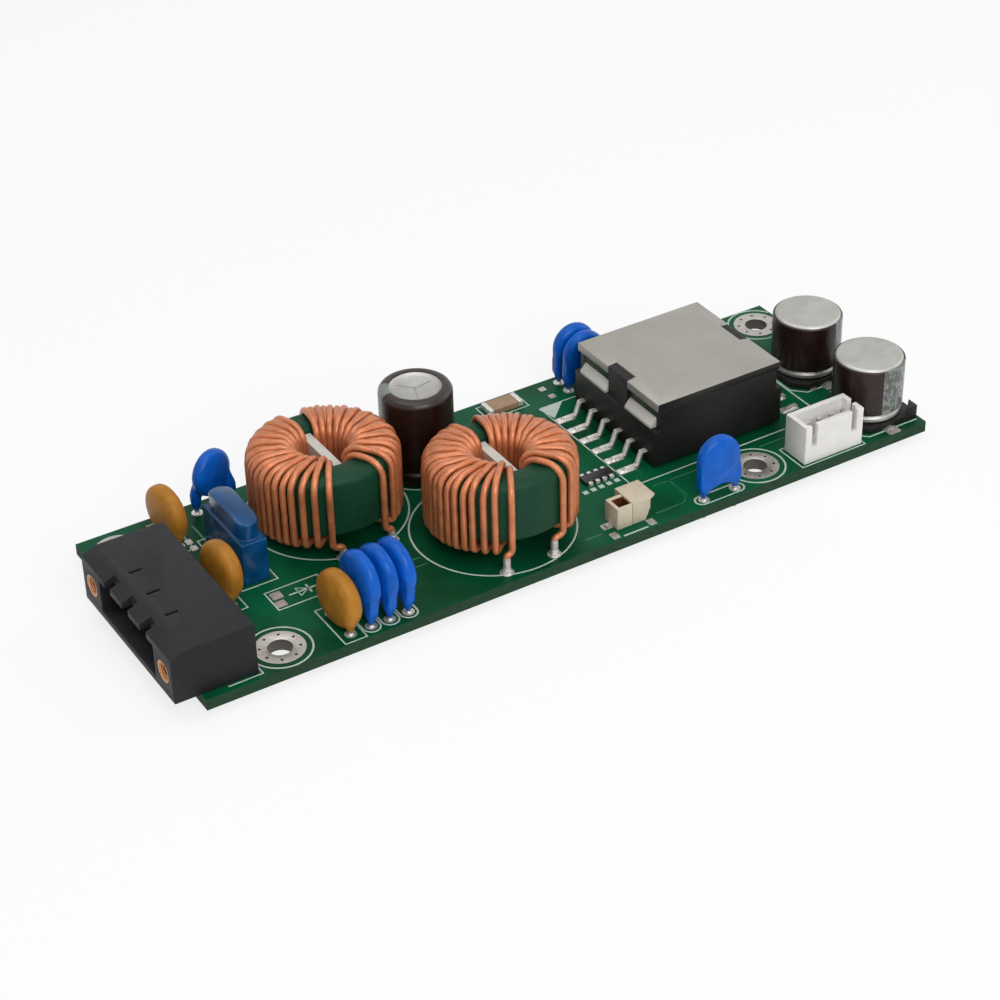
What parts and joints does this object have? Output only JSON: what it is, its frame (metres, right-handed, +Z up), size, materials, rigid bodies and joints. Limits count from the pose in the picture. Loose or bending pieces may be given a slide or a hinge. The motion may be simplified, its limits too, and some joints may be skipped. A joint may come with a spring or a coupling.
{
  "type": "dc-dc converter",
  "caption": "Open-frame dc-dc converter on a long green board: input header, fuse, disc capacitors, toroidal chokes, flat transformer, output header and capacitors.",
  "frame": {"origin": "centre of the circuit board's underside", "axes": "+X along the board from the input header to the output capacitors, +Y across it to the far edge, +Z up from the component side"},
  "size_m": [0.1135, 0.038, 0.0161],
  "materials": {
    "green_laminate": "solder mask, satin gloss",
    "black_plastic": "moulded, matt",
    "white_plastic": "moulded, satin",
    "beige_plastic": "moulded, satin",
    "clear_blue_plastic": "tinted, glossy",
    "ochre_coating": "dipped resin",
    "blue_coating": "dipped resin",
    "green_core_coating": "epoxy coated",
    "copper_wire": "enamelled, glossy",
    "white_board": "fibre board",
    "ferrite": "ground, light grey",
    "aluminium_can": "drawn, satin",
    "dark_sleeve": "shrunk film",
    "tan_ceramic": "sintered",
    "tinned_metal": "tinned",
    "brass": "turned"
  },
  "bodies": {
    "root": {"blue_disc_1_body": "blue_coating", "blue_disc_1_leads": "tinned_metal", "blue_disc_2_body": "blue_coating", "blue_disc_2_leads": "tinned_metal", "blue_disc_3_body": "blue_coating", "blue_disc_3_leads": "tinned_metal", "blue_disc_4_body": "blue_coating", "blue_disc_4_leads": "tinned_metal", "blue_disc_5_body": "blue_coating", "blue_disc_5_leads": "tinned_metal", "blue_disc_6_body": "blue_coating", "blue_disc_6_leads": "tinned_metal", "blue_disc_7_body": "blue_coating", "blue_disc_7_leads": "tinned_metal", "chip_capacitor": "tan_ceramic", "chip_capacitor_ends": "tinned_metal", "choke_1_core": "green_core_coating", "choke_1_divider": "white_board", "choke_1_winding_left": "copper_wire", "choke_1_winding_right": "copper_wire", "choke_2_core": "green_core_coating", "choke_2_divider": "white_board", "choke_2_winding_left": "copper_wire", "choke_2_winding_right": "copper_wire", "circuit_board": "green_laminate", "fuse_body": "clear_blue_plastic", "fuse_element": "tinned_metal", "header_housing": "black_plastic", "header_inserts": "brass", "header_pins": "tinned_metal", "ochre_disc_1_body": "ochre_coating", "ochre_disc_1_leads": "tinned_metal", "ochre_disc_2_body": "ochre_coating", "ochre_disc_2_leads": "tinned_metal", "ochre_disc_3_body": "ochre_coating", "ochre_disc_3_leads": "tinned_metal", "output_capacitor_1_base": "black_plastic", "output_capacitor_1_can": "aluminium_can", "output_capacitor_1_sleeve": "dark_sleeve", "output_capacitor_1_terminals": "tinned_metal", "output_capacitor_2_base": "black_plastic", "output_capacitor_2_can": "aluminium_can", "output_capacitor_2_sleeve": "dark_sleeve", "output_capacitor_2_terminals": "tinned_metal", "output_header_housing": "white_plastic", "output_header_pins": "tinned_metal", "resistor_array": "black_plastic", "resistor_array_terminals": "tinned_metal", "socket_contacts": "tinned_metal", "socket_housing": "beige_plastic", "tall_capacitor_can": "aluminium_can", "tall_capacitor_leads": "tinned_metal", "tall_capacitor_sleeve": "dark_sleeve", "transformer_bobbin": "black_plastic", "transformer_core_lower": "ferrite", "transformer_core_upper": "ferrite", "transformer_pins": "tinned_metal", "transformer_winding": "copper_wire"}
  },
  "joints": []
}
